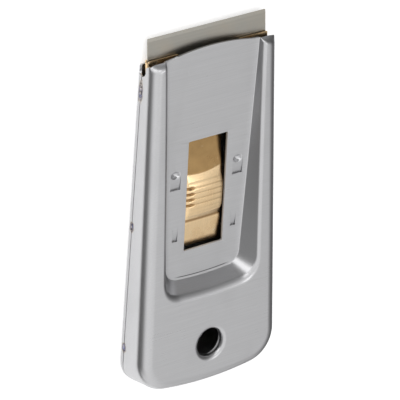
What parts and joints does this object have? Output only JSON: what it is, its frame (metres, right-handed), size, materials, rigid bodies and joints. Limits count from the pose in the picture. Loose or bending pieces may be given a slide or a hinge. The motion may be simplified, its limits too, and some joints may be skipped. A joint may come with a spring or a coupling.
{
  "type": "razor blade scraper",
  "caption": "Flat stamped steel hand scraper that holds a single-edge razor blade in a sliding brass carrier with a thumb leaf and a hang hole.",
  "frame": {"origin": "On the axis of the hang hole, on the flat rear face.", "axes": "+X across the handle to the right as seen from the front with the blade up, +Y along the handle towards the blade's edge, +Z out of the front face with the thumb pocket."},
  "size_m": [0.0454, 0.1024, 0.011],
  "materials": {
    "shell_steel": "fine brushing across the handle",
    "weld_steel": "heat tinted",
    "carrier_brass": "bright rolled brass with light scratches",
    "blade_steel": "bright ground steel",
    "spine_steel": "rolled sheet"
  },
  "bodies": {
    "handle": {"front_shell": "shell_steel", "rear_shell": "shell_steel", "left_seam_welds": "weld_steel", "right_seam_welds": "weld_steel"},
    "carrier": {"blade_carrier": "carrier_brass"},
    "leaf": {"thumb_leaf": "carrier_brass"},
    "razor": {"blade": "blade_steel", "blade_spine": "spine_steel"}
  },
  "joints": [
    {"name": "carrier_slide", "type": "slide", "parent": "handle", "child": "carrier", "axis": [0, 1, 0], "range_m": [-0.0085, 0.01]},
    {"name": "thumb_press", "type": "hinge", "parent": "carrier", "child": "leaf", "pos_m": [0, 0.07083, 0.00257], "axis": [1, 0, 0], "range_deg": [0, 2.2], "stiffness_Nm_per_rad": 3.6, "springref_deg": -1.15},
    {"name": "blade_removal", "type": "slide", "parent": "carrier", "child": "razor", "axis": [0, 0.9966, -0.0828], "range_m": [0, 0.03]}
  ]
}
